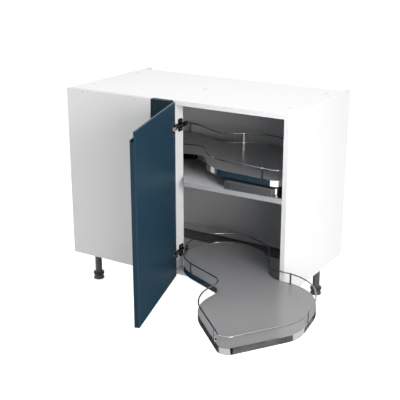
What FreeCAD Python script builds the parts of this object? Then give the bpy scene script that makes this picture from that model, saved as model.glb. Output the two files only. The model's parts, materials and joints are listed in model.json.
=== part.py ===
import FreeCAD, Part
import math
import os

# Blind corner base unit with a hinged door and two swing-out kidney trays, in millimetres.
# It is drawn from the carcase's own corner: X from the left side, Y back from the front edges of the boards,
# Z up from the underside of the bottom board. At the end it is moved so that its origin is on the floor, in
# the middle of the whole unit as the photograph shows it: door open, upper tray stored, lower tray swung out.

# Carcase
UNIT_WIDTH = 1000.0
UNIT_DEPTH = 560.0
UNIT_HEIGHT = 720.0
BOARD = 18.0
BACK_THICKNESS = 8.0
BACK_GROOVE = 6.0
SERVICE_VOID = 46.0
OPENING_WIDTH = 469.0
STILE_DEPTH = 58.0
SHELF_BOTTOM = 382.0

# Fixed fronts
BLIND_THICKNESS = 25.0
FILLER_THICKNESS = 22.0
FILLER_WIDTH = 88.5
FILLER_LAP = 7.5
FRONT_GAP = 1.0
PANEL_SCREW_RADIUS = 2.0
PANEL_SCREW_LENGTH = 45.0
PANEL_SCREW_HEAD_RADIUS = 4.0
PANEL_SCREW_HEAD = 0.8
PANEL_SCREW_INSETS = (84.0, 342.0)

# Cam fittings that hold the boards, under flat covers on the top
CAM_RADIUS = 7.5
CAM_DEPTH = 12.5
CAM_COVER_RADIUS = 8.5
CAM_COVER = 0.8
CAM_INSET = 23.0
CAM_FRONT = 98.0
CAM_REAR = 420.0
CAM_MIDDLE_Y = 252.0

# Door leaf, with a grip groove along its top edge
DOOR_THICKNESS = 20.0
DOOR_GAP = 3.0
DOOR_SIDE_MARGIN = 2.0
DOOR_END_MARGIN = 1.5
DOOR_HINGE_GAP = 3.5
DOOR_OPEN = 72.3
DOOR_AXIS_FROM_EDGE = 1.2
DOOR_AXIS_FROM_FACE = 1.2
GRIP_INNER_WALL = 7.0
GRIP_GROOVE = 8.0
GRIP_DEPTH = 42.0
GRIP_LIP_DROP = 28.0
DOOR_EDGE_ROUND = 1.0

# Concealed hinges
HINGE_FROM_TOP = 103.0
HINGE_FROM_BOTTOM = 93.0
CUP_RADIUS = 17.5
CUP_DEPTH = 11.5
CUP_WALL = 1.0
CUP_FROM_EDGE = 22.5
FLANGE_LENGTH = 62.0
FLANGE_WIDTH = 17.0
FLANGE_THICKNESS = 1.4
FLANGE_SCREW_SPACING = 48.0
LINK_WIDTH = 14.0
LINK_THICKNESS = 3.0
LINK_PIN_RADIUS = 1.9
LINK_ARC_RADIUS = 16.5
LINK_ARC = (24.0, 88.0)
HINGE_PLATE_THICKNESS = 4.0
HINGE_PLATE_LENGTH = 50.0
HINGE_PLATE_FRONT = 22.0
HINGE_PLATE_DEPTH = 27.0
HINGE_PLATE_CORNER = 4.0
HINGE_PLATE_SCREW_INSET = 8.0
HINGE_ARM_WIDTH = 17.0
HINGE_ARM_HEIGHT = 6.5
HINGE_ARM_OVERHANG = 8.0
HINGE_ARM_LENGTH = 84.0
HINGE_SCREW_RADIUS = 4.0
HINGE_SCREW_HEAD = 1.0
HINGE_SCREW_PITCH = 22.0
HINGE_SLOT_LENGTH = 14.0
HINGE_SLOT_WIDTH = 6.0
CUP_SCREW_RADIUS = 3.2

# Legs and their screw feet
LEG_HEIGHT = 150.0
LEG_INSET_LEFT = 50.0
LEG_INSET_RIGHT = 55.0
LEG_FRONT = 75.0
LEG_REAR = 430.0
SOCKET_RADIUS = 30.0
SOCKET_HEIGHT = 10.0
TUBE_RADIUS = 15.0
FOOT_HEIGHT = 31.7
FOOT_BASE_RADIUS = 23.0
FOOT_WAIST_RADIUS = 19.0
FOOT_RIM_RADIUS = 24.0
FOOT_RIM = 9.0
FOOT_NOTCHES = 8
FOOT_NOTCH_RADIUS = 4.0
STEM_RADIUS = 5.0
STEM_LENGTH = 55.0

# Running gap between pieces that move against each other, and the looser one of a pin in its bore
RUNNING_GAP = 0.3
PIN_CLEARANCE = 0.05

# Swing mechanism, heights above the board that carries it
POST_FROM_RIGHT = 38.39
POST_FROM_FRONT = 27.87
ARM_LENGTH = 329.289
ARM_STORED = 162.114
ARM_OUT = 98.35
TRAY_TURN_OUT = -37.6
BASE_PLATE = 3.0
BASE_PLATE_WIDTH = 246.0
BASE_PLATE_DEPTH = 87.0
BASE_PLATE_FRONT = 2.0
BASE_PLATE_CORNER = 8.0
BASE_PLATE_MARGIN = 6.0
HOUSING_LENGTH = 208.0
HOUSING_DEPTH = 64.0
HOUSING_HEIGHT = 30.0
HOUSING_INSET = 3.0
HOUSING_ROUND = 5.0
LOUVRES = 3
LOUVRE_WIDTH = 3.0
LOUVRE_PITCH = 7.0
LOUVRE_LENGTH = 16.0
LOUVRE_DEPTH = 4.0
BASE_SCREW_RADIUS = 4.0
BASE_SCREW_HEAD = 2.0
POST_RADIUS = 9.5
POST_HEIGHT = 31.2
POST_PIN_RADIUS = 6.5
ARM_THICKNESS = 7.5
ARM_POST_BOSS = 20.0
ARM_TRAY_BOSS = 26.0
ARM_WAIST = 30.0
ARM_CHAMFER = 1.2
CAP_RADIUS = 9.0
CAP_HEIGHT = 3.0
CAP_SKIN = 1.0
HUB_RADIUS = 18.0
HUB_HEIGHT = 3.7
HUB_FLANGE_RADIUS = 35.0
HUB_FLANGE = 4.0
TRAY_PIN_RADIUS = 8.0
WASHER_RADIUS = 12.0
WASHER = 3.2

# Trays
TRAY_BOARD = 15.0
BAND_THICKNESS = 1.5
BAND_LAP_BELOW = 3.0
BAND_LAP_ABOVE = 1.0
RAIL_RADIUS = 2.5
RAIL_HEIGHT = 40.0
POST_WIDTH = 7.0
POST_THICKNESS = 2.0
POST_FOOT_WIDTH = 12.0
POST_FOOT_DEPTH = 8.0
POST_FOOT_THICKNESS = 1.5
CLIP_RADIUS = 3.5
CLIP_LENGTH = 8.0

# The least part of each run of an outline that stays straight between its arcs
MIN_STRAIGHT = 0.002

# Planes and faces that several pieces share
LEFT_FACE = BOARD
RIGHT_FACE = UNIT_WIDTH - BOARD
BACK_FACE = UNIT_DEPTH - SERVICE_VOID - BACK_THICKNESS
TOP_FACE = UNIT_HEIGHT - BOARD
SHELF_TOP = SHELF_BOTTOM + BOARD
STILE_FACE = RIGHT_FACE - OPENING_WIDTH
STILE_LEFT = STILE_FACE - BOARD
FILLER_RIGHT = STILE_FACE - FILLER_LAP
FILLER_LEFT = FILLER_RIGHT - FILLER_WIDTH
DOOR_LEFT = FILLER_RIGHT + DOOR_HINGE_GAP
DOOR_RIGHT = UNIT_WIDTH - DOOR_SIDE_MARGIN
DOOR_INNER = -DOOR_GAP
DOOR_OUTER = DOOR_INNER - DOOR_THICKNESS
DOOR_BOTTOM = DOOR_END_MARGIN
DOOR_TOP = UNIT_HEIGHT - DOOR_END_MARGIN
DOOR_AXIS = (DOOR_LEFT - DOOR_AXIS_FROM_EDGE, DOOR_OUTER + DOOR_AXIS_FROM_FACE)
POST_AXIS = (RIGHT_FACE - POST_FROM_RIGHT, POST_FROM_FRONT)
TRAY_LEVELS = {"upper": SHELF_TOP, "lower": BOARD}
HINGE_HEIGHTS = {"upper": UNIT_HEIGHT - HINGE_FROM_TOP, "lower": HINGE_FROM_BOTTOM}
SWING = {"upper": (0.0, 0.0), "lower": (ARM_OUT, TRAY_TURN_OUT)}

# Heights in the mechanism, above the board that carries it
POST_TOP = BASE_PLATE + POST_HEIGHT
ARM_BOTTOM = POST_TOP + RUNNING_GAP
ARM_TOP = ARM_BOTTOM + ARM_THICKNESS
HUB_BOTTOM = ARM_TOP + RUNNING_GAP
FLANGE_BOTTOM = HUB_BOTTOM + HUB_HEIGHT
TRAY_BOTTOM = FLANGE_BOTTOM + HUB_FLANGE
TRAY_TOP = TRAY_BOTTOM + TRAY_BOARD
RAIL_LEVEL = TRAY_TOP + RAIL_HEIGHT

# Corners of a stored tray's outline, as x, y and radius, each placed from the faces it has to clear
TRAY_CORNERS = (
    (RIGHT_FACE - 8.0, -1.0, 38.0),
    (RIGHT_FACE - 27.0, BACK_FACE - 216.0, 128.0),
    (RIGHT_FACE - 162.0, BACK_FACE - 83.0, 213.0),
    (RIGHT_FACE - 333.0, BACK_FACE - 3.0, 188.0),
    (STILE_LEFT + 2.0, BACK_FACE - 123.0, 100.0),
    (LEFT_FACE + 275.0, BACK_FACE - 9.0, 173.0),
    (LEFT_FACE + 42.0, BACK_FACE - 82.0, 150.0),
    (LEFT_FACE + 74.0, STILE_DEPTH + 146.0, 170.0),
    (LEFT_FACE + 273.0, STILE_DEPTH + 50.0, 208.0),
    (STILE_FACE + 30.0, STILE_DEPTH + 116.0, 60.0),
    (STILE_FACE + 122.0, 27.0, 202.0),
)

# Where the flat posts of a stored tray stand, each moved to the nearest point of the rail
POST_PLACES = (
    (LEFT_FACE + 332.0, STILE_DEPTH + 57.0),
    (RIGHT_FACE - 87.0, 9.0),
    (STILE_FACE + 61.0, BACK_FACE - 64.0),
    (RIGHT_FACE - 89.0, BACK_FACE - 144.0),
    (LEFT_FACE + 265.0, BACK_FACE - 14.0),
)

# The link of a hinge with the door closed, seen along the door's axis: from the cup, over its rim, to the arm
LINK_PATH = (
    (DOOR_LEFT + 27.0, DOOR_INNER - 3.0),
    (DOOR_LEFT + 19.0, DOOR_INNER + 7.0),
    (DOOR_LEFT - 4.0, DOOR_INNER + 6.0),
)

UP = FreeCAD.Vector(0, 0, 1)
pieces = {}


def point(x, y, z=0.0):
    return FreeCAD.Vector(x, y, z)


def box(x, y, z):
    """A box from its three pairs of limits."""
    return Part.makeBox(x[1] - x[0], y[1] - y[0], z[1] - z[0], point(x[0], y[0], z[0]))


def rod(radius, bottom, top, centre):
    """An upright cylinder."""
    return Part.makeCylinder(radius, top - bottom, point(centre[0], centre[1], bottom))


def rod_along(radius, length, start, direction):
    return Part.makeCylinder(radius, length, start, direction)


def raised(wire, bottom, top):
    """The solid between two heights inside a flat wire."""
    face = Part.Face(wire)
    face.translate(point(0, 0, bottom))
    return face.extrude(point(0, 0, top - bottom))


def rounded_outline(corners):
    """A closed wire of straight runs with a tangent arc at each corner, no arc longer than its runs allow."""
    points = [point(x, y) for x, y, _ in corners]
    following = points[1:] + points[:1]
    runs = [after - here for here, after in zip(points, following)]
    half_angles = [(-runs[index - 1]).getAngle(run) / 2 for index, run in enumerate(runs)]
    reaches = [corner[2] / math.tan(half) for corner, half in zip(corners, half_angles)]
    taken = [reach + beyond for reach, beyond in zip(reaches, reaches[1:] + reaches[:1])]
    shares = [min(1, (1 - MIN_STRAIGHT) * run.Length / length) for run, length in zip(runs, taken)]
    arcs = []
    for index, here in enumerate(points):
        before = (-runs[index - 1]).normalize()
        after = point(*runs[index]).normalize()
        half_angle = half_angles[index]
        reach = reaches[index] * min(shares[index - 1], shares[index])
        radius = reach * math.tan(half_angle)
        middle = (before + after).normalize()
        crown = here + middle * (radius / math.sin(half_angle) - radius)
        arcs.append(Part.Arc(here + before * reach, crown, here + after * reach))
    edges = []
    for arc, next_arc in zip(arcs, arcs[1:] + arcs[:1]):
        edges.append(arc.toShape())
        edges.append(Part.LineSegment(arc.EndPoint, next_arc.StartPoint).toShape())
    return Part.Wire(edges)


def fused(shapes):
    return shapes[0].fuse(shapes[1:]).removeSplitter()


def upright_edges(shape):
    return [edge for edge in shape.Edges if abs(abs(edge.tangentAt(edge.FirstParameter).z) - 1) < 1e-6]


def keep(name, shape):
    pieces[name] = shape


def turned(shape, centre, angle):
    shape = shape.copy()
    shape.rotate(point(*centre), UP, angle)
    return shape


def carcase():
    sides_deep = (0, UNIT_DEPTH)
    boards_deep = (0, BACK_FACE + BACK_THICKNESS)
    between = (LEFT_FACE, RIGHT_FACE)
    groove_x = (LEFT_FACE - BACK_GROOVE, RIGHT_FACE + BACK_GROOVE)
    groove_z = (BOARD - BACK_GROOVE, TOP_FACE + BACK_GROOVE)
    back = box(groove_x, (BACK_FACE, BACK_FACE + BACK_THICKNESS), groove_z)
    stile = box((STILE_LEFT, STILE_FACE), (0, STILE_DEPTH), (BOARD, TOP_FACE))
    shelf = box(between, (0, BACK_FACE), (SHELF_BOTTOM, SHELF_TOP))
    cams = cam_fittings()
    screws = panel_screws()
    keep("side_left", box((0, BOARD), sides_deep, (0, UNIT_HEIGHT)).cut(back))
    keep("side_right", box((RIGHT_FACE, UNIT_WIDTH), sides_deep, (0, UNIT_HEIGHT)).cut(back))
    keep("top_board", box(between, boards_deep, (TOP_FACE, UNIT_HEIGHT)).cut([back, cams, screws]))
    keep("bottom_board", box(between, boards_deep, (0, BOARD)).cut([back, screws]))
    keep("back_board", back)
    keep("stile", stile)
    keep("shelf", shelf.cut(stile))
    keep("cam_covers", cams)
    blind = box((0, FILLER_LEFT - FRONT_GAP), (-BLIND_THICKNESS, 0), (0, UNIT_HEIGHT))
    keep("blind_panel", blind.cut(screws))
    keep("panel_screws", screws)
    keep("corner_filler", box((FILLER_LEFT, FILLER_RIGHT), (-FILLER_THICKNESS, 0), (0, UNIT_HEIGHT)))


def cam_fittings():
    """Round cam housings in the top board, each with a thin cover that laps its bore."""
    left = LEFT_FACE + CAM_INSET
    right = RIGHT_FACE - CAM_INSET
    places = [(left, CAM_FRONT), (left, CAM_REAR), (right, CAM_FRONT), (right, CAM_REAR)]
    places.append((STILE_LEFT + 2.0, CAM_MIDDLE_Y))
    fittings = []
    for place in places:
        body = rod(CAM_RADIUS, UNIT_HEIGHT - CAM_DEPTH, UNIT_HEIGHT, place)
        cover = rod(CAM_COVER_RADIUS, UNIT_HEIGHT, UNIT_HEIGHT + CAM_COVER, place)
        fittings.append(fused([body, cover]))
    return Part.Compound(fittings)


def panel_screws():
    """Screws through the blind panel into the front edges of the top and bottom boards."""
    screws = []
    inward = point(0, 1, 0)
    for x in PANEL_SCREW_INSETS:
        for z in (BOARD / 2, UNIT_HEIGHT - BOARD / 2):
            front = point(x, -BLIND_THICKNESS, z)
            shank = rod_along(PANEL_SCREW_RADIUS, PANEL_SCREW_LENGTH, front, inward)
            head = rod_along(PANEL_SCREW_HEAD_RADIUS, PANEL_SCREW_HEAD, front, -inward)
            screws.append(fused([head, shank]))
    return Part.Compound(screws)


def legs():
    xs = {"left": LEG_INSET_LEFT, "right": UNIT_WIDTH - LEG_INSET_RIGHT}
    ys = {"front": LEG_FRONT, "rear": LEG_REAR}
    floor = -LEG_HEIGHT
    foot_top = floor + FOOT_HEIGHT
    for row, y in ys.items():
        for side, x in xs.items():
            socket = rod(SOCKET_RADIUS, -SOCKET_HEIGHT, 0, (x, y))
            socket = socket.makeChamfer(SOCKET_HEIGHT / 3, [socket.Edges[2]])
            tube = rod(TUBE_RADIUS, foot_top + RUNNING_GAP, -SOCKET_HEIGHT, (x, y))
            bore = rod(STEM_RADIUS + PIN_CLEARANCE, foot_top, foot_top + STEM_LENGTH + RUNNING_GAP, (x, y))
            keep("leg_%s_%s" % (row, side), fused([socket, tube]).cut(bore))
            keep("foot_%s_%s" % (row, side), screw_foot((x, y), floor, foot_top))


def screw_foot(centre, floor, top):
    """A turned foot with a waist, a notched rim for the fingers and a stem."""
    half = FOOT_HEIGHT / 2
    profile = (
        (0, floor),
        (FOOT_BASE_RADIUS, floor),
        (FOOT_BASE_RADIUS, floor + FOOT_HEIGHT / 6),
        (FOOT_WAIST_RADIUS, floor + half),
        (FOOT_RIM_RADIUS, top - FOOT_RIM),
        (FOOT_RIM_RADIUS, top),
        (STEM_RADIUS, top),
        (STEM_RADIUS, top + STEM_LENGTH),
        (0, top + STEM_LENGTH),
        (0, floor),
    )
    outline = Part.makePolygon([point(x, 0, z) for x, z in profile])
    foot = Part.Face(outline).revolve(point(0, 0, 0), UP, 360)
    for index in range(FOOT_NOTCHES):
        angle = 2 * math.pi * index / FOOT_NOTCHES
        place = (FOOT_RIM_RADIUS * math.cos(angle), FOOT_RIM_RADIUS * math.sin(angle))
        foot = foot.cut(rod(FOOT_NOTCH_RADIUS, top - FOOT_RIM, top, place))
    foot.translate(point(*centre))
    return foot


def door():
    leaf = door_leaf()
    door_pieces = {}
    for name, height in HINGE_HEIGHTS.items():
        cup, hollow = hinge_cup(height)
        link = hinge_link(height)
        leaf = leaf.cut(hollow)
        door_pieces["hinge_cup_" + name] = cup
        door_pieces["hinge_link_" + name] = link
    door_pieces["door_leaf"] = leaf
    for name, shape in door_pieces.items():
        keep(name, turned(shape, DOOR_AXIS, -DOOR_OPEN))


def door_leaf():
    """The leaf's section across its height: a full inner wall, the grip groove and a lower outer lip."""
    inner_wall = DOOR_INNER - GRIP_INNER_WALL
    lip_wall = inner_wall - GRIP_GROOVE
    lip_top = DOOR_TOP - GRIP_LIP_DROP
    groove_bottom = DOOR_TOP - GRIP_DEPTH
    lip_middle = (lip_wall + DOOR_OUTER) / 2
    lip_radius = (lip_wall - DOOR_OUTER) / 2
    groove_middle = (lip_wall + inner_wall) / 2
    groove_radius = GRIP_GROOVE / 2
    x = DOOR_LEFT

    def at(y, z):
        return point(x, y, z)

    lip = Part.Arc(
        at(DOOR_OUTER, lip_top - lip_radius),
        at(lip_middle, lip_top),
        at(lip_wall, lip_top - lip_radius),
    )
    groove = Part.Arc(
        at(lip_wall, groove_bottom + groove_radius),
        at(groove_middle, groove_bottom),
        at(inner_wall, groove_bottom + groove_radius),
    )
    edges = [
        Part.LineSegment(at(DOOR_OUTER, DOOR_BOTTOM), lip.StartPoint).toShape(),
        lip.toShape(),
        Part.LineSegment(lip.EndPoint, groove.StartPoint).toShape(),
        groove.toShape(),
        Part.LineSegment(groove.EndPoint, at(inner_wall, DOOR_TOP)).toShape(),
        Part.LineSegment(at(inner_wall, DOOR_TOP), at(DOOR_INNER, DOOR_TOP)).toShape(),
        Part.LineSegment(at(DOOR_INNER, DOOR_TOP), at(DOOR_INNER, DOOR_BOTTOM)).toShape(),
        Part.LineSegment(at(DOOR_INNER, DOOR_BOTTOM), at(DOOR_OUTER, DOOR_BOTTOM)).toShape(),
    ]
    leaf = Part.Face(Part.Wire(edges)).extrude(point(DOOR_RIGHT - DOOR_LEFT, 0, 0))
    outer = [edge for edge in upright_edges(leaf) if abs(edge.Vertexes[0].Y - DOOR_OUTER) < 1e-6]
    return leaf.makeFillet(DOOR_EDGE_ROUND, outer)


def hinge_cup(height):
    """The cup with its screwed flange on the inner face of the closed door, and the hollow that it needs."""
    centre = point(DOOR_LEFT + CUP_FROM_EDGE, DOOR_INNER, height)
    outward = point(0, -1, 0)
    inward = point(0, 1, 0)
    hollow = rod_along(CUP_RADIUS, CUP_DEPTH, centre, outward)
    cup_inside = rod_along(CUP_RADIUS - CUP_WALL, CUP_DEPTH - CUP_WALL, centre, outward)
    flange = box(
        (centre.x - FLANGE_WIDTH / 2, centre.x + FLANGE_WIDTH / 2),
        (DOOR_INNER, DOOR_INNER + FLANGE_THICKNESS),
        (height - FLANGE_LENGTH / 2, height + FLANGE_LENGTH / 2),
    )
    rim = rod_along(CUP_RADIUS + CUP_WALL, FLANGE_THICKNESS, centre, inward)
    mouth = rod_along(CUP_RADIUS - CUP_WALL, FLANGE_THICKNESS, centre, inward)
    heads = []
    for side in (-1, 1):
        place = point(centre.x, DOOR_INNER + FLANGE_THICKNESS, height + side * FLANGE_SCREW_SPACING / 2)
        heads.append(rod_along(CUP_SCREW_RADIUS, HINGE_SCREW_HEAD, place, inward))
    cup = fused([hollow, flange, rim] + heads).cut([cup_inside, mouth])
    return cup, hollow


def hinge_link(height):
    """The bent link that leaves the cup on a pin and curves round the door's axis in front of the arm."""
    corners = [point(x, y) for x, y in LINK_PATH]
    half_width = LINK_WIDTH / 2
    half_strip = LINK_THICKNESS / 2
    arc_start = DOOR_OPEN + LINK_ARC[0]
    arc_end = DOOR_OPEN + LINK_ARC[1]
    axis = point(*DOOR_AXIS)
    corners.append(axis + FreeCAD.Rotation(UP, arc_start).multVec(point(LINK_ARC_RADIUS, 0)))
    shapes = []
    for start, end in zip(corners, corners[1:]):
        strip = box((0, (end - start).Length), (-half_strip, half_strip), (-half_width, half_width))
        strip = turned(strip, (0, 0), math.degrees(math.atan2(end.y - start.y, end.x - start.x)))
        strip.translate(start)
        shapes.append(strip)
        shapes.append(rod(half_strip, -half_width, half_width, (start.x, start.y)))
    shapes.append(rod(half_strip, -half_width, half_width, (corners[-1].x, corners[-1].y)))
    sector = [
        Part.makeCylinder(radius, LINK_WIDTH, axis - UP * half_width, UP, arc_end - arc_start)
        for radius in (LINK_ARC_RADIUS + half_strip, LINK_ARC_RADIUS - half_strip)
    ]
    shapes.append(turned(sector[0].cut(sector[1]), DOOR_AXIS, arc_start))
    offset = abs(LINK_PATH[0][0] - DOOR_LEFT - CUP_FROM_EDGE)
    half_pin = math.sqrt((CUP_RADIUS - CUP_WALL) ** 2 - (offset + LINK_PIN_RADIUS) ** 2)
    shapes.append(rod(LINK_PIN_RADIUS, -half_pin, half_pin, LINK_PATH[0]))
    link = fused(shapes)
    link.translate(point(0, 0, height))
    return link


def hinge_mounts():
    """The cross plate and arm of each hinge on the right face of the stile, with their screws."""
    across = point(1, 0, 0)
    plate_face = STILE_FACE + HINGE_PLATE_THICKNESS
    arm_face = plate_face + HINGE_ARM_HEIGHT
    plate_middle = HINGE_PLATE_FRONT + HINGE_PLATE_DEPTH / 2
    for name, height in HINGE_HEIGHTS.items():
        plate = box(
            (STILE_FACE, plate_face),
            (HINGE_PLATE_FRONT, HINGE_PLATE_FRONT + HINGE_PLATE_DEPTH),
            (height - HINGE_PLATE_LENGTH / 2, height + HINGE_PLATE_LENGTH / 2),
        )
        corners = [edge for edge in plate.Edges if abs(edge.tangentAt(0).x) > 0.9]
        keep("hinge_plate_" + name, plate.makeFillet(HINGE_PLATE_CORNER, corners))
        arm = box(
            (plate_face, arm_face),
            (-HINGE_ARM_OVERHANG, HINGE_ARM_LENGTH - HINGE_ARM_OVERHANG),
            (height - HINGE_ARM_WIDTH / 2, height + HINGE_ARM_WIDTH / 2),
        )
        outer = [edge for edge in arm.Edges if edge.BoundBox.YLength > 1 and edge.BoundBox.XMin > plate_face]
        arm = arm.makeFillet(HINGE_ARM_HEIGHT / 4, outer)
        slot = box(
            (plate_face, arm_face),
            (HINGE_ARM_LENGTH - HINGE_ARM_OVERHANG - HINGE_SLOT_LENGTH, HINGE_ARM_LENGTH),
            (height - HINGE_SLOT_WIDTH / 2, height + HINGE_SLOT_WIDTH / 2),
        )
        swept = LINK_ARC_RADIUS + LINK_THICKNESS / 2 + RUNNING_GAP
        swept = rod(swept, height - HINGE_ARM_WIDTH / 2, height + HINGE_ARM_WIDTH / 2, DOOR_AXIS)
        keep("hinge_arm_" + name, arm.cut([slot, swept]))
        heads = []
        for side in (-1, 1):
            z = height + side * (HINGE_PLATE_LENGTH / 2 - HINGE_PLATE_SCREW_INSET)
            place = point(plate_face, plate_middle, z)
            heads.append(rod_along(HINGE_SCREW_RADIUS, HINGE_SCREW_HEAD, place, across))
        for y in (plate_middle, plate_middle - HINGE_SCREW_PITCH):
            place = point(arm_face, y, height)
            heads.append(rod_along(HINGE_SCREW_RADIUS, HINGE_SCREW_HEAD, place, across))
        keep("hinge_screws_" + name, Part.Compound(heads))


def mechanism(name, level):
    """Base plate, housing and post, which stay on their board."""
    plate_right = RIGHT_FACE - BASE_PLATE_MARGIN
    plate_left = plate_right - BASE_PLATE_WIDTH
    plate_rear = BASE_PLATE_FRONT + BASE_PLATE_DEPTH
    plate = box((plate_left, plate_right), (BASE_PLATE_FRONT, plate_rear), (level, level + BASE_PLATE))
    plate = plate.makeFillet(BASE_PLATE_CORNER, upright_edges(plate))
    keep("base_plate_" + name, plate)

    housing_left = plate_left + HOUSING_INSET
    bottom = level + BASE_PLATE
    housing = box(
        (housing_left, housing_left + HOUSING_LENGTH),
        (BASE_PLATE_FRONT, BASE_PLATE_FRONT + HOUSING_DEPTH),
        (bottom, bottom + HOUSING_HEIGHT),
    )
    rounded = [edge for edge in housing.Edges if edge.BoundBox.ZMax > bottom + 1]
    housing = housing.makeFillet(HOUSING_ROUND, rounded)
    louvres = []
    for index in range(LOUVRES):
        height = bottom + HOUSING_HEIGHT / 2 + (index - (LOUVRES - 1) / 2) * LOUVRE_PITCH
        louvres.append(box(
            (housing_left + 2 * HOUSING_ROUND, housing_left + 2 * HOUSING_ROUND + LOUVRE_LENGTH),
            (BASE_PLATE_FRONT, BASE_PLATE_FRONT + LOUVRE_DEPTH),
            (height - LOUVRE_WIDTH / 2, height + LOUVRE_WIDTH / 2),
        ))
    post_recess = rod(POST_RADIUS + RUNNING_GAP, bottom, bottom + HOUSING_HEIGHT, POST_AXIS)
    keep("housing_" + name, housing.cut(louvres + [post_recess]))

    screw_y = (BASE_PLATE_FRONT + HOUSING_DEPTH + plate_rear) / 2
    places = [(plate_left + BASE_PLATE_WIDTH * share, screw_y) for share in (0.1, 0.5, 0.9)]
    heads = [rod(BASE_SCREW_RADIUS, bottom, bottom + BASE_SCREW_HEAD, place) for place in places]
    keep("base_screws_" + name, Part.Compound(heads))

    post = rod(POST_RADIUS, bottom, level + POST_TOP, POST_AXIS)
    cap_bottom = level + HUB_BOTTOM
    cap_top = cap_bottom + CAP_HEIGHT
    pin = rod(POST_PIN_RADIUS, level + POST_TOP, cap_top - CAP_SKIN, POST_AXIS)
    keep("pivot_post_" + name, fused([post, pin]))
    cap = rod(CAP_RADIUS, cap_bottom, cap_top, POST_AXIS)
    cap = cap.makeChamfer(CAP_SKIN / 2, [cap.Edges[0]])
    keep("post_cap_" + name, cap.cut(pin))


def swing_arm(level):
    """A flat arm with a round boss at each end, from the post to the stored tray's pivot."""
    bottom = level + ARM_BOTTOM
    top = level + ARM_TOP
    far = stored_tray_axis()
    web = box((0, ARM_LENGTH), (-ARM_WAIST / 2, ARM_WAIST / 2), (bottom, top))
    web.translate(point(*POST_AXIS))
    web = turned(web, POST_AXIS, ARM_STORED)
    bosses = [rod(ARM_POST_BOSS, bottom, top, POST_AXIS), rod(ARM_TRAY_BOSS, bottom, top, far)]
    arm = fused([web] + bosses)
    upper = [edge for edge in arm.Edges if edge.BoundBox.ZMin > top - 1e-3]
    arm = arm.makeChamfer(ARM_CHAMFER, upper)
    post_bore = rod(POST_PIN_RADIUS + PIN_CLEARANCE, bottom, top, POST_AXIS)
    tray_bore = rod(TRAY_PIN_RADIUS + PIN_CLEARANCE, bottom, top, far)
    return arm.cut([post_bore, tray_bore])


def stored_tray_axis():
    angle = math.radians(ARM_STORED)
    return (POST_AXIS[0] + ARM_LENGTH * math.cos(angle), POST_AXIS[1] + ARM_LENGTH * math.sin(angle))


def tray_pieces(level):
    """Tray board, edge band, rail, posts and the hub under it, as stored."""
    axis = stored_tray_axis()
    outline = rounded_outline(TRAY_CORNERS)
    board_outline = outline.makeOffset2D(-BAND_THICKNESS)
    rail_outline = outline.makeOffset2D(-RAIL_RADIUS)
    board_bottom = level + TRAY_BOTTOM
    board_top = level + TRAY_TOP
    board = raised(board_outline, board_bottom, board_top)
    band_bottom = board_bottom - BAND_LAP_BELOW
    band_top = board_top + BAND_LAP_ABOVE
    band = raised(outline, band_bottom, band_top).cut(raised(board_outline, band_bottom, band_top))
    rail = wire_ring(rail_outline, level + RAIL_LEVEL)
    posts = [flat_post(rail_outline, place, board_top, level + RAIL_LEVEL) for place in POST_PLACES]
    posts = [post.cut([rail, band]) for post in posts]

    hub_bottom = level + HUB_BOTTOM
    flange_bottom = level + FLANGE_BOTTOM
    washer_bottom = level + POST_TOP - WASHER
    hub = fused([
        rod(HUB_FLANGE_RADIUS, flange_bottom, board_bottom, axis),
        rod(HUB_RADIUS, hub_bottom, flange_bottom, axis),
        rod(TRAY_PIN_RADIUS, washer_bottom, hub_bottom, axis),
    ])
    washer = rod(WASHER_RADIUS, washer_bottom, level + POST_TOP, axis)
    washer = washer.cut(rod(TRAY_PIN_RADIUS, washer_bottom, level + POST_TOP, axis))
    return {
        "tray_board": board,
        "tray_band": band,
        "tray_rail": rail,
        "tray_posts": Part.Compound(posts),
        "tray_hub": hub,
        "hub_washer": washer,
    }


def wire_ring(outline, height):
    """Round wire bent along a closed outline."""
    path = outline.copy()
    path.translate(point(0, 0, height))
    edge = path.OrderedEdges[0]
    start = edge.valueAt(edge.FirstParameter)
    section = Part.Wire(Part.Circle(start, edge.tangentAt(edge.FirstParameter), RAIL_RADIUS).toShape())
    return path.makePipeShell([section], True, False)


def flat_post(rail_outline, place, bottom, rail_height):
    """A flat strip with a foot on the board and a clip round the rail."""
    stations = rail_outline.discretize(Number=801)
    target = point(*place)
    nearest = min(range(1, len(stations) - 1), key=lambda index: (stations[index] - target).Length)
    here = stations[nearest]
    along = (stations[nearest + 1] - stations[nearest - 1]).normalize()
    strip = box(
        (-POST_WIDTH / 2, POST_WIDTH / 2),
        (-POST_THICKNESS / 2, POST_THICKNESS / 2),
        (bottom, rail_height),
    )
    foot = box(
        (-POST_FOOT_WIDTH / 2, POST_FOOT_WIDTH / 2),
        (-POST_THICKNESS / 2, POST_FOOT_DEPTH),
        (bottom, bottom + POST_FOOT_THICKNESS),
    )
    clip = rod_along(CLIP_RADIUS, CLIP_LENGTH, point(-CLIP_LENGTH / 2, 0, rail_height), point(1, 0, 0))
    post = fused([strip, foot, clip])
    post = turned(post, (0, 0), math.degrees(math.atan2(along.y, along.x)))
    post.translate(point(here.x, here.y))
    return post


def swing(shape, arm_turn, own_turn):
    """A tray's piece as the arm carries it: turned by itself, and moved along with the arm's end."""
    stored = point(*stored_tray_axis())
    carried = stored - point(*POST_AXIS)
    carried = FreeCAD.Rotation(UP, arm_turn).multVec(carried) + point(*POST_AXIS)
    shape = turned(shape, (stored.x, stored.y), own_turn)
    shape.translate(carried - stored)
    return shape, carried


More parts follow.
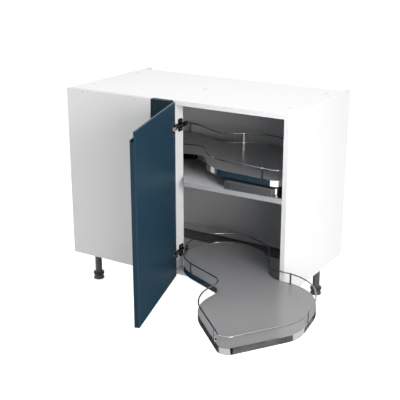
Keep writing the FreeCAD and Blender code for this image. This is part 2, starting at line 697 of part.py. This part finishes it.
carcase()
legs()
door()
hinge_mounts()
tray_axes = {}
for level_name, level_height in TRAY_LEVELS.items():
    arm_turn, own_turn = SWING[level_name]
    mechanism(level_name, level_height)
    keep("swing_arm_" + level_name, turned(swing_arm(level_height), POST_AXIS, arm_turn))
    for piece_name, piece in tray_pieces(level_height).items():
        piece, tray_axes[level_name] = swing(piece, arm_turn, own_turn)
        keep("%s_%s" % (piece_name, level_name), piece)

whole = Part.Compound(list(pieces.values())).optimalBoundingBox()
to_origin = point(-(whole.XMin + whole.XMax) / 2, -(whole.YMin + whole.YMax) / 2, LEG_HEIGHT)

os.makedirs("parts", exist_ok=True)
for piece_name, piece in pieces.items():
    piece.translate(to_origin)
    piece.exportStep("parts/%s.step" % piece_name)

print("moved by", to_origin)
print("door axis", point(*DOOR_AXIS) + to_origin)
print("post axis", point(*POST_AXIS) + to_origin)
print("tray axes", {name: axis + to_origin for name, axis in tray_axes.items()})
print("size", whole.XLength, whole.YLength, whole.ZLength)
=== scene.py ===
# %% [markdown]
# # A blind corner unit with swing-out kidney trays
# The object is a white kitchen carcase on plastic legs with a dark blue door that hides half of its front.
# Two grey trays with chrome rails swing out on arms. The CAD frame already has every piece at its true size
# and place, so this file gives each piece its finish, makes the few pieces that the frame has in a plainer
# form, and then sets up the camera, the floor and the light.

# %% Load the frame
import json
import math

import bpy
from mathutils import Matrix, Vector


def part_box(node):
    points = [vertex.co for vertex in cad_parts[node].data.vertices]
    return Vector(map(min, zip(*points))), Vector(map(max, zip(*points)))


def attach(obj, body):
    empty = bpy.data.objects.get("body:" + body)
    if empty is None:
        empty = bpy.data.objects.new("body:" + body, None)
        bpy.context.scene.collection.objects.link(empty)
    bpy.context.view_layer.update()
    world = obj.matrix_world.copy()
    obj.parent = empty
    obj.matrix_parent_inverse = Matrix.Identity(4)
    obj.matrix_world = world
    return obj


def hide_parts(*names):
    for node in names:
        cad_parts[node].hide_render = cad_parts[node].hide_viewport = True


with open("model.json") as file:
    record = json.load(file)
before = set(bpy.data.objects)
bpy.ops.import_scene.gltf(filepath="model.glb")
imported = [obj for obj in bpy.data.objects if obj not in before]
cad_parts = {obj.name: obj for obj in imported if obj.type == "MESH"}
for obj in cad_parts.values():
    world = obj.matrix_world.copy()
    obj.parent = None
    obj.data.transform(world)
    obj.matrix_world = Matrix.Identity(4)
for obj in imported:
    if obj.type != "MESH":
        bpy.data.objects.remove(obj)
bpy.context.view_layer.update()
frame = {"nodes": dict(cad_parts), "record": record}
nodes = frame["nodes"]
print(len(nodes), "pieces in the frame")

# %% [markdown]
# ## Shader maths as plain expressions
# A finish is easier to read as a formula than as a web of nodes. One small class wraps a socket and
# overloads the operators, so that `0.5 - mask` adds a Math node by itself. Any other node comes from one
# method.

# %% A socket that can be used in expressions
class Socket:
    def __init__(self, tree, socket):
        self.tree = tree
        self.socket = socket

    def maths(self, operation, *values):
        return self.node("ShaderNodeMath", {"operation": operation}, dict(enumerate(values)))

    def node(self, kind, settings=None, sockets=None, output=0):
        """Any node, from its settings and its inputs by name or number, as the socket that it gives."""
        made = self.tree.nodes.new(kind)
        for name, value in (settings or {}).items():
            setattr(made, name, value)
        for name, value in (sockets or {}).items():
            if isinstance(value, Socket):
                self.tree.links.new(value.socket, made.inputs[name])
            else:
                made.inputs[name].default_value = value
        return Socket(self.tree, made.outputs[output])

    def feed(self, target):
        self.tree.links.new(self.socket, target)

    def __add__(self, other):
        return self.maths("ADD", self, other)

    def __radd__(self, other):
        return self.maths("ADD", other, self)

    def __sub__(self, other):
        return self.maths("SUBTRACT", self, other)

    def __rsub__(self, other):
        return self.maths("SUBTRACT", other, self)

    def __mul__(self, other):
        return self.maths("MULTIPLY", self, other)


def object_place(tree):
    """Where a point lies on its object, which stays with the object when it moves."""
    return Socket(tree, tree.nodes.new("ShaderNodeTexCoord").outputs["Object"])


# %% [markdown]
# ## One way to make a finish
# Every finish here is a Principled shader. Plain values go straight to its sockets, and a short function
# adds what varies over the surface, such as the pores of a board or the hairlines of brushed metal.

# %% A finish from plain values and a function for what varies
def srgb(red, green, blue):
    """A colour as it looks on screen, from 0 to 255, as the linear values that a shader takes."""
    def linear(value):
        value = value / 255
        return value / 12.92 if value <= 0.04045 else ((value + 0.055) / 1.055) ** 2.4
    return (linear(red), linear(green), linear(blue), 1)


finishes = {}


def finish(name, colour, roughness, vary, metallic=0.0, specular=0.5):
    """A finish kept under its name, where vary gives the sockets that change over the surface."""
    material = bpy.data.materials.new(name)
    material.use_nodes = True
    tree = material.node_tree
    shader = tree.nodes["Principled BSDF"]
    values = {
        "Base Color": colour,
        "Roughness": roughness,
        "Metallic": metallic,
        "Specular IOR Level": specular,
    }
    for socket, value in values.items():
        shader.inputs[socket].default_value = value
    for socket, value in vary(object_place(tree), colour, roughness).items():
        value.feed(shader.inputs[socket])
    finishes[name] = material


MIX_FACTOR = 0
MIX_COLOUR_A = 6
MIX_COLOUR_B = 7
MIX_COLOUR_RESULT = 2


def shaded(place, colour, amount, mask):
    """The colour made darker or lighter by a share of itself where the mask is low or high."""
    dark = tuple(value * (1 - amount) for value in colour[:3]) + (1,)
    light = tuple(min(1, value * (1 + amount)) for value in colour[:3]) + (1,)
    sockets = {MIX_FACTOR: mask, MIX_COLOUR_A: dark, MIX_COLOUR_B: light}
    return place.node("ShaderNodeMix", {"data_type": "RGBA"}, sockets, MIX_COLOUR_RESULT)


def noise(place, scale, detail, stretch=(1, 1, 1)):
    scaled = place.node("ShaderNodeVectorMath", {"operation": "MULTIPLY"}, {0: place, 1: stretch})
    return place.node("ShaderNodeTexNoise", {}, {"Vector": scaled, "Scale": scale, "Detail": detail})


def bump(place, height, strength, distance):
    return place.node("ShaderNodeBump", {}, {"Height": height, "Strength": strength, "Distance": distance})


# %% [markdown]
# ## What varies over a surface
# Melamine board, lacquer and moulded plastic have a very fine pressed grain that shows only as a soft break
# in their sheen, so it is a small bump and a little change of roughness, with hardly a change of colour.
# Metal has hairlines that run along it, which are the same noise stretched one way.

# %% Grain and brush lines
CLOUD_SCALE = 3.0
CLOUD_ROUGHNESS = 0.08
GRAIN_HEIGHT = 0.0002
LINE_SCALE = 220
LINE_TONE = 0.06
LINE_ROUGHNESS = 0.12
LINE_BUMP = 0.06
LINE_HEIGHT = 0.0001


def fine_grain(scale, bump_strength, tone, shade=None):
    """Pressed grain of that scale. The tone follows a soft cloud, or else the mask that shade gives."""
    def vary(place, colour, roughness):
        grain = noise(place, scale, 3.0)
        cloud = noise(place, CLOUD_SCALE, 2.0)
        return {
            "Base Color": shaded(place, colour, tone, shade(place) if shade else cloud),
            "Roughness": roughness + (cloud - 0.5) * CLOUD_ROUGHNESS,
            "Normal": bump(place, grain, bump_strength, GRAIN_HEIGHT),
        }
    return vary


def brushed(stretch):
    """Hairlines that run along the axis where the stretch is smallest."""
    def vary(place, colour, roughness):
        lines = noise(place, LINE_SCALE, 2.0, stretch)
        return {
            "Base Color": shaded(place, colour, LINE_TONE, lines),
            "Roughness": roughness + (lines - 0.5) * LINE_ROUGHNESS,
            "Normal": bump(place, lines, LINE_BUMP, LINE_HEIGHT),
        }
    return vary


# %% [markdown]
# ## The door's free edge
# The narrow edge of the leaf is painted a shade darker than its face, as painted shade and not as a colour
# of the lacquer. The leaf stands open, so the edge is found by how far a point lies along the leaf, from
# the hinge side out.

# %% Painted shade on the free edge of the door
EDGE_LAYER = 0.0006
# The share by which the free edge is painted darker, as painted shade.
EDGE_PAINTED_SHADE = 0.4
leaf_points = [vertex.co for vertex in nodes["door_leaf"].data.vertices]
nearest = max(leaf_points, key=lambda point: point.y)
furthest = min(leaf_points, key=lambda point: point.y)
along_leaf = Vector((furthest.x - nearest.x, furthest.y - nearest.y, 0)).normalized()
reach = max(point.dot(along_leaf) for point in leaf_points)


def painted_shade_at_free_edge(place):
    """A mask of a half on the leaf, and less on its free edge, where it paints shade."""
    dot = {"operation": "DOT_PRODUCT"}
    along = place.node("ShaderNodeVectorMath", dot, {0: place, 1: along_leaf}, output=1)
    on_edge = along.maths("GREATER_THAN", along, reach - EDGE_LAYER)
    return 0.5 - on_edge * (EDGE_PAINTED_SHADE / 2)


# %% [markdown]
# ## The finishes
# Boards and fronts are white melamine or blue lacquer. The boards inside are painted a little darker, the
# shelf's edge band darker still and the filler a darker blue than the door, all as painted shade. The legs
# and feet are dark moulded plastic. Rails, edge bands and posts are polished chrome, the rails and lower
# posts in a copy painted darker as painted shade in what they mirror, hinge cups are nickel, and the arms
# are black.

# %% Finishes by name
WHOLE_COLOUR = 1.0
finish("white_board", srgb(240, 240, 241), 0.42, fine_grain(900, 0.08, 0.01))
finish("white_front", srgb(222, 222, 222), 0.4, fine_grain(700, 0.06, 0.01))
finish("white_plastic", srgb(220, 220, 221), 0.35, fine_grain(500, 0.05, 0.02))
# The inside boards are the white painted greyer, as painted shade for the dim inside of the carcase.
finish("inner_board_painted_shade", srgb(218, 218, 219), 0.45, fine_grain(900, 0.08, 0.01))
# The shelf's edge band is painted a grey below the board's white, as painted shade on that edge.
finish("edge_band_painted_shade", srgb(184, 184, 186), 0.4, fine_grain(900, 0.08, 0.02))
# The door's blue takes its grain and a painted shade on its free edge.
leaf_grain_and_painted_edge_shade = fine_grain(600, 0.05, WHOLE_COLOUR, painted_shade_at_free_edge)
finish("blue_front", srgb(30, 60, 77), 0.38, leaf_grain_and_painted_edge_shade, specular=0.18)
# The filler is the door's blue lacquer painted darker, as painted shade.
finish("blue_filler", srgb(20, 42, 53), 0.38, fine_grain(600, 0.05, 0.03), specular=0.1)
finish("tray_grey", srgb(150, 150, 151), 0.24, fine_grain(800, 0.06, 0.02))
finish("grey_plastic", srgb(84, 86, 88), 0.4, fine_grain(500, 0.1, 0.03))
finish("leg_plastic", srgb(86, 86, 86), 0.45, fine_grain(400, 0.12, 0.05))
finish("foot_plastic", srgb(70, 69, 69), 0.45, fine_grain(400, 0.12, 0.05))
finish("dark_strip", srgb(98, 98, 99), 0.5, fine_grain(400, 0.1, 0.06))
finish("chrome", srgb(206, 205, 204), 0.06, brushed((1, 1, 0.3)), metallic=1.0)
# Rails and lower posts take the chrome painted darker, as painted shade in what they mirror.
finish("chrome_painted_darker", srgb(150, 150, 152), 0.14, brushed((1, 1, 0.3)), metallic=1.0)
finish("nickel", srgb(120, 116, 112), 0.32, brushed((1, 1, 6)), metallic=1.0)
finish("plated_steel", srgb(150, 150, 152), 0.35, brushed((1, 8, 1)), metallic=1.0)
finish("zinc_screw", srgb(200, 200, 198), 0.3, brushed((3, 3, 3)), metallic=1.0)
finish("black_metal", srgb(30, 30, 32), 0.35, brushed((1, 4, 1)), metallic=0.6)

# %% Give each node the finish of its slot, or a copy of it painted darker as painted shade
PAINTED_SHADE_FINISHES = {
    "tray_rail_upper": "chrome_painted_darker",
    "tray_rail_lower": "chrome_painted_darker",
    "tray_posts_lower": "chrome_painted_darker",
    "back_board": "inner_board_painted_shade",
    "bottom_board": "inner_board_painted_shade",
}
for subpart in frame["record"]["subparts"]:
    mesh = nodes[subpart["node"]].data
    mesh.materials.clear()
    mesh.materials.append(finishes[PAINTED_SHADE_FINISHES.get(subpart["node"], subpart["material_slot"])])

# %% [markdown]
# ## Pieces that the frame has in a plainer form
# The shelf's front corner stops at the back of the stile. The shelf takes the inside boards' painted shade,
# and its edge band is painted darker still, as painted shade. Behind the lower tray a flat dark strip lies
# across the bottom board, with a low lip along each edge. Both are outlines drawn out along one axis, so
# one function makes both. The chrome bands hang a little below their tray boards, so they are copies of the
# frame's bands with their lower edge let down.

# %% Shapes drawn out from an outline
def placed(name, mesh, body):
    """A new piece in the scene that rides on a body, with the finishes its mesh already holds."""
    piece = bpy.data.objects.new(name, mesh)
    bpy.context.scene.collection.objects.link(piece)
    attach(piece, body)
    return piece


def drawn_out(name, outline, start, end, place, materials):
    """A closed outline as a solid, with its ends in the first finish and its sides in the last."""
    count = len(outline)
    points = [place(u, v, w) for w in (start, end) for u, v in outline]
    faces = [tuple(range(count))[::-1], tuple(range(count, 2 * count))]
    for index in range(count):
        after = (index + 1) % count
        faces.append((index, after, count + after, count + index))
    mesh = bpy.data.meshes.new(name)
    mesh.from_pydata(points, [], faces)
    for material in materials:
        mesh.materials.append(material)
    for face in mesh.polygons[2:]:
        face.material_index = len(materials) - 1
    return mesh


# %% Shelf
CORNER_CUT = 0.041
low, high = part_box("shelf")
stile_low, stile_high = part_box("stile")
outline = [
    (low.x, low.y),
    (stile_low.x, low.y),
    (stile_low.x, stile_high.y),
    (stile_high.x, stile_high.y),
    (stile_high.x + CORNER_CUT, low.y),
    (high.x, low.y),
    (high.x, high.y),
    (low.x, high.y),
]
# The shelf takes the inside boards' painted shade and the edge band's darker painted shade.
boards = [finishes["inner_board_painted_shade"], finishes["edge_band_painted_shade"]]
mesh = drawn_out("shelf_cut_back", outline, low.z, high.z, lambda x, y, z: (x, y, z), boards)
shelf = placed("shelf_cut_back", mesh, "carcase")
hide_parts("shelf")

# %% Strip on the bottom board
STRIP_WIDTH = 0.090
STRIP_REAR = 0.095
STRIP_THICKNESS = 0.0012
LIP_HEIGHT = 0.005
LIP_WIDTH = 0.004
low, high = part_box("bottom_board")
back = high.y - STRIP_REAR
front = back - STRIP_WIDTH
base = high.z
flat = base + STRIP_THICKNESS
crest = base + LIP_HEIGHT
outline = [
    (front, base),
    (back, base),
    (back, crest),
    (back - LIP_WIDTH, crest),
    (back - LIP_WIDTH, flat),
    (front + LIP_WIDTH, flat),
    (front + LIP_WIDTH, crest),
    (front, crest),
]
dark = [finishes["dark_strip"]]
mesh = drawn_out("floor_strip", outline, low.x, high.x, lambda y, z, x: (x, y, z), dark)
placed("floor_strip", mesh, "carcase")

# %% Bands
BAND_DROP = 0.0045
AT_THE_EDGE = 0.0001
for level in ("upper", "lower"):
    name = "tray_band_" + level
    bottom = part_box(name)[0].z
    mesh = nodes[name].data.copy()
    for vertex in mesh.vertices:
        if vertex.co.z < bottom + AT_THE_EDGE:
            vertex.co.z -= BAND_DROP
    band = placed(name + "_tall", mesh, level + "_tray")
    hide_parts(name)
print("made the shelf, the strip and the bands")

# %% [markdown]
# ## The camera
# The viewpoint was solved from the unit's own straight edges. It is given from the lower left front corner
# of the carcase, in metres, with a turn to the left and a tilt down. The focal length is in pixels of a 400
# pixel picture.

# %% Camera
EYE_FROM_CORNER = Vector((2.33666, -2.75651, 1.41231))
TURN_LEFT = 0.555
TILT_DOWN = 0.320
FOCAL_PIXELS = 874.897
PICTURE_PIXELS = 400
camera_data = bpy.data.cameras.new("camera")
camera_data.sensor_width = 36.0
camera_data.lens = camera_data.sensor_width * FOCAL_PIXELS / PICTURE_PIXELS
camera = bpy.data.objects.new("camera", camera_data)
camera.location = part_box("side_left")[0] + EYE_FROM_CORNER
camera.rotation_euler = (math.pi / 2 - TILT_DOWN, 0, TURN_LEFT)
bpy.context.scene.collection.objects.link(camera)
bpy.context.scene.camera = camera

# %% [markdown]
# ## Floor and light
# A catalogue picture stands on white. The world lights the object softly at one level, and is full white
# only to the camera and to the chrome. The floor adds a little light of its own to those same rays, so it
# reads as white paper while the unit's soft shadow stays on it.

# %% World
def seen_or_mirrored(tree):
    """1 for rays from the camera and those that polished metal sends on, 0 for the rest."""
    rays = tree.nodes.new("ShaderNodeLightPath").outputs
    seen = Socket(tree, rays["Is Camera Ray"])
    return seen.maths("MAXIMUM", seen, Socket(tree, rays["Is Glossy Ray"]))


WORLD_LIGHT = 0.18
world = bpy.data.worlds.new("world")
bpy.context.scene.world = world
world.use_nodes = True
sky = world.node_tree
background = sky.nodes["Background"]
background.inputs["Color"].default_value = (1, 1, 1, 1)
(seen_or_mirrored(sky) * (1 - WORLD_LIGHT) + WORLD_LIGHT).feed(background.inputs["Strength"])


# %% Floor
def stage_surface(name, colour):
    """A matt material for what isn't part of the object, and its shader, which can be given a glow."""
    material = bpy.data.materials.new(name)
    material.use_nodes = True
    shader = material.node_tree.nodes["Principled BSDF"]
    shader.inputs["Base Color"].default_value = colour
    shader.inputs["Roughness"].default_value = 0.9
    shader.inputs["Specular IOR Level"].default_value = 0.0
    return material, shader


FLOOR_GLOW = 0.85
paper, shader = stage_surface("paper", srgb(245, 245, 245))
shader.inputs["Emission Color"].default_value = (1, 1, 1, 1)
(seen_or_mirrored(paper.node_tree) * FLOOR_GLOW).feed(shader.inputs["Emission Strength"])

bpy.ops.mesh.primitive_plane_add(size=24, location=(0, 0, 0))
floor = bpy.context.object
floor.name = "floor"
floor.data.materials.append(paper)

# %% [markdown]
# ## What the chrome mirrors
# Chrome has no colour of its own, so it needs something to mirror. A studio lays grey and dark cards round
# the object for that. These lie flat just above the floor, and only mirror rays meet them, so they neither
# show nor shade. Each has a brightness from 0 to 255, a share by which soft streaks change it, and its
# reach across and along the floor.

# %% Reflector cards
CARD_LIFT = 0.002
CARD_WARM_FROM = 200
STREAKS_PER_METRE = (11, 11, 1)
CARDS = (
    ("card_grey", 126, 0.9, (-0.60, 1.40), (-1.30, 0.60)),
    ("card_dark_left", 68, 0.8, (-0.45, 0.10), (-0.60, 0.25)),
    ("card_dark_right", 80, 0.6, (0.30, 0.70), (0.24, 0.36)),
    ("card_white_front", 250, 0.1, (0.00, 0.81), (-1.20, -0.76)),
    ("card_dark_stripe", 35, 0.3, (0.81, 0.91), (-0.90, -0.66)),
    ("card_white_right", 255, 0.05, (0.72, 1.30), (-0.24, 0.20)),
)


def card_tone(level):
    """White cards are slightly warm and grey ones slightly cool."""
    if level > CARD_WARM_FROM:
        return srgb(level, level * 0.99, level * 0.985)
    return srgb(level, level, level * 1.02)


for index, (name, level, streaks, (left, right), (near, far)) in enumerate(CARDS, 1):
    height = CARD_LIFT * index
    corners = [(left, near, height), (right, near, height), (right, far, height), (left, far, height)]
    mesh = bpy.data.meshes.new(name)
    mesh.from_pydata(corners, [], [(0, 1, 2, 3)])
    surface, shader = stage_surface(name, (0, 0, 0, 1))
    shader.inputs["Emission Strength"].default_value = 1.0
    place = object_place(surface.node_tree)
    lines = noise(place, 2.0, 3.0, STREAKS_PER_METRE)
    shaded(place, card_tone(level), streaks, lines).feed(shader.inputs["Emission Color"])
    mesh.materials.append(surface)
    card = bpy.data.objects.new(name, mesh)
    bpy.context.scene.collection.objects.link(card)
    card.visible_camera = False
    card.visible_diffuse = False
    card.visible_shadow = False
    card.visible_transmission = False
print(len(CARDS), "cards")

# %% [markdown]
# ## Lamps
# Four soft square lamps face the middle of the unit. The strongest comes from the right, so that the right
# side and the left half of the inside are the lightest, as in the photograph. Each has a place, a size in
# metres and a power in watts.

# %% Lamps
MIDDLE = Vector((0.1, 0.0, 0.4))
LAMPS = (
    ("top", (0.2, 0.2, 3.4), 2.5, 56),
    ("right_front", (3.6, -1.9, 1.9), 1.4, 96),
    ("left_front", (-2.1, -2.1, 2.1), 1.4, 30),
    ("low_front", (2.8, -2.8, 0.7), 1.2, 36),
)
for name, location, size, power in LAMPS:
    data = bpy.data.lights.new(name, "AREA")
    data.shape = "SQUARE"
    data.size = size
    data.energy = power
    lamp = bpy.data.objects.new(name, data)
    lamp.location = location
    lamp.rotation_euler = (MIDDLE - Vector(location)).to_track_quat("-Z", "Y").to_euler()
    bpy.context.scene.collection.objects.link(lamp)

# %% Finish
bpy.context.scene.view_settings.view_transform = "Standard"
